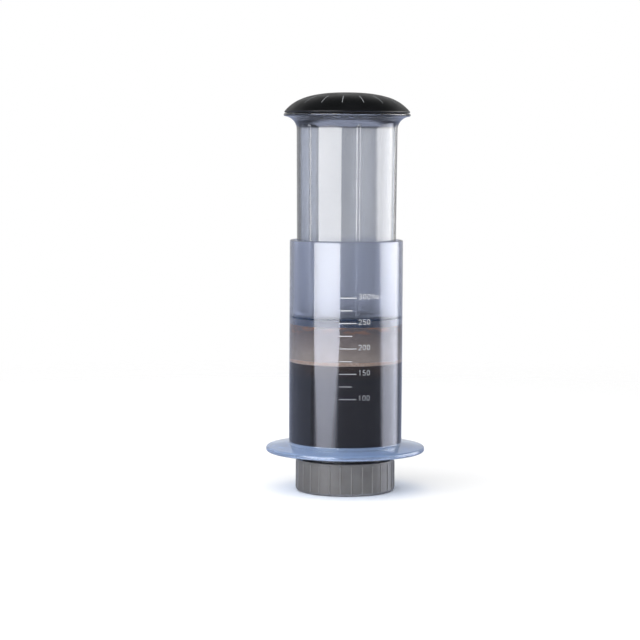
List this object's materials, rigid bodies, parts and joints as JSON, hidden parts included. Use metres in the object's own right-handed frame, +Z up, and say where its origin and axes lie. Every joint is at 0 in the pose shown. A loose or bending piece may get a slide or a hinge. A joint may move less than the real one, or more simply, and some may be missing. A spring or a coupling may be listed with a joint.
{
  "type": "piston coffee press",
  "caption": "Hand coffee press: a domed plunger slides in a clear tube with a round mug flange, above a ribbed twist-off filter cap.",
  "frame": {"origin": "on the press's axis, in the plane of the foot ring that it stands on", "axes": "+Z up along the axis, and -Y towards the scale on the chamber"},
  "size_m": [0.0968, 0.0968, 0.2424],
  "materials": {
    "clear_plastic": "polished, smoky blue-grey and see-through",
    "seal_silicone": "satin",
    "grey_silicone": "satin",
    "black_plastic": "satin",
    "grey_plastic": "satin",
    "screen_steel": "etched",
    "filter_paper": "soft"
  },
  "bodies": {
    "chamber": {"brew_chamber": "clear_plastic"},
    "plunger": {"plunger_tube": "clear_plastic", "plunger_seal": "seal_silicone"},
    "press_cap": {"press_cap": "black_plastic", "press_cap_ring": "grey_silicone"},
    "filter_cap": {"filter_cap": "grey_plastic", "neck_gasket": "grey_silicone", "paper_filter": "filter_paper", "filter_screen": "screen_steel", "outlet_valve": "grey_silicone", "valve_retainer": "grey_plastic"}
  },
  "joints": [
    {"name": "plunger_slide", "type": "slide", "parent": "chamber", "child": "plunger", "axis": [0, 0, 1], "range_m": [-0.0718, 0.06]},
    {"name": "press_cap_lift", "type": "slide", "parent": "plunger", "child": "press_cap", "axis": [0, 0, 1], "range_m": [0, 0.03]},
    {"name": "filter_cap_twist", "type": "hinge", "parent": "chamber", "child": "filter_cap", "pos_m": [0, 0, 0.0128], "axis": [0, 0, 1], "range_deg": [-45, 0]}
  ]
}
